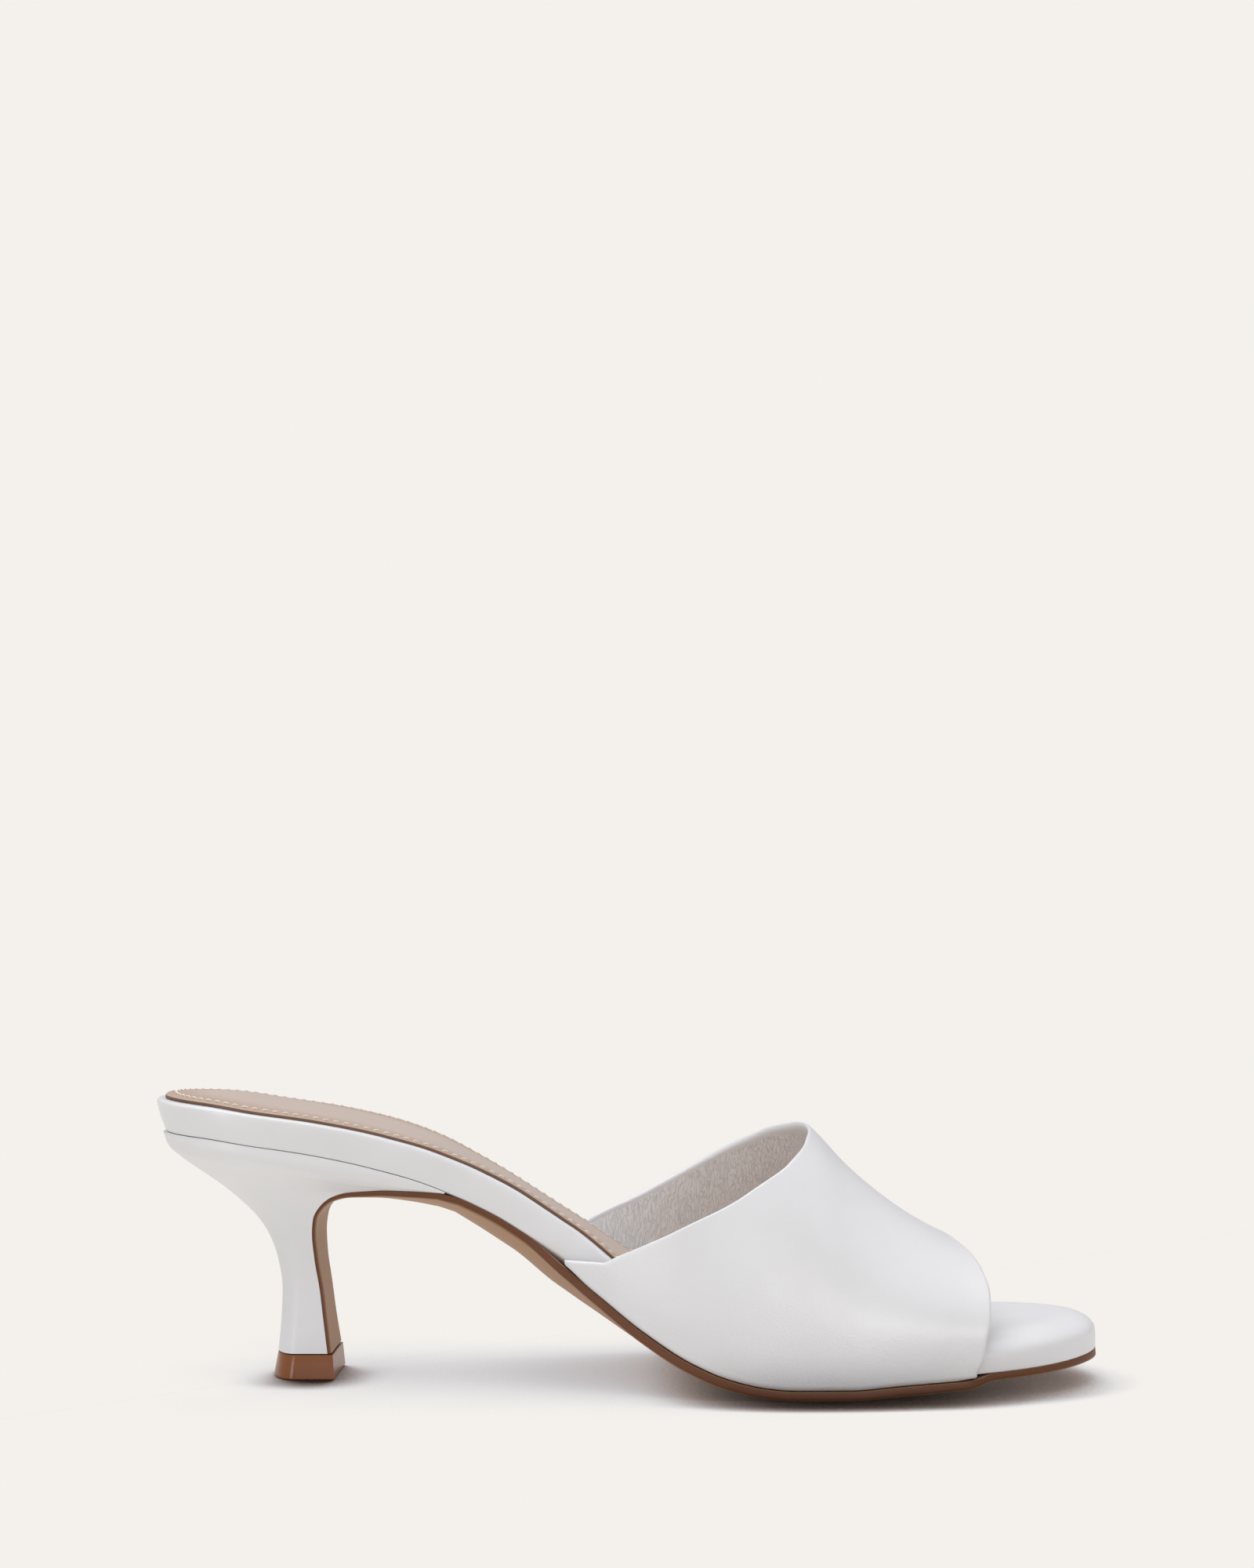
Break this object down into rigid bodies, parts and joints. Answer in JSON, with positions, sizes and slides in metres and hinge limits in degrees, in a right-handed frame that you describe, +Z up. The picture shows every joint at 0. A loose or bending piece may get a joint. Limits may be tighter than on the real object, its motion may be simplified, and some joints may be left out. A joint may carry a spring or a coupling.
{
  "type": "mule shoe",
  "caption": "Open-toe slip-on mule with a wide smooth leather vamp, a padded sock on a wrapped footbed and a flared kitten heel, standing empty on its sole.",
  "frame": {"origin": "centre of the heel tip's bottom face, on the floor", "axes": "+X from the heel to the toe, +Y towards the outer side of the foot, +Z up from the floor"},
  "size_m": [0.2295, 0.0774, 0.0695],
  "materials": {
    "upper_leather": "smooth white leather with a soft satin sheen",
    "footbed_leather": "smooth white leather wrapped round the board",
    "sock_leather": "soft tan lining leather, stitched near its dark cut edge",
    "sole_leather": "brown sole leather with a dark stained edge",
    "heel_cover": "smooth white leather cover over a moulded core",
    "tip_plastic": "glossy brown moulded plastic"
  },
  "bodies": {
    "root": {"upper": "upper_leather", "footbed": "footbed_leather", "sock": "sock_leather", "outsole": "sole_leather", "heel": "heel_cover", "top_piece": "tip_plastic"}
  },
  "joints": []
}
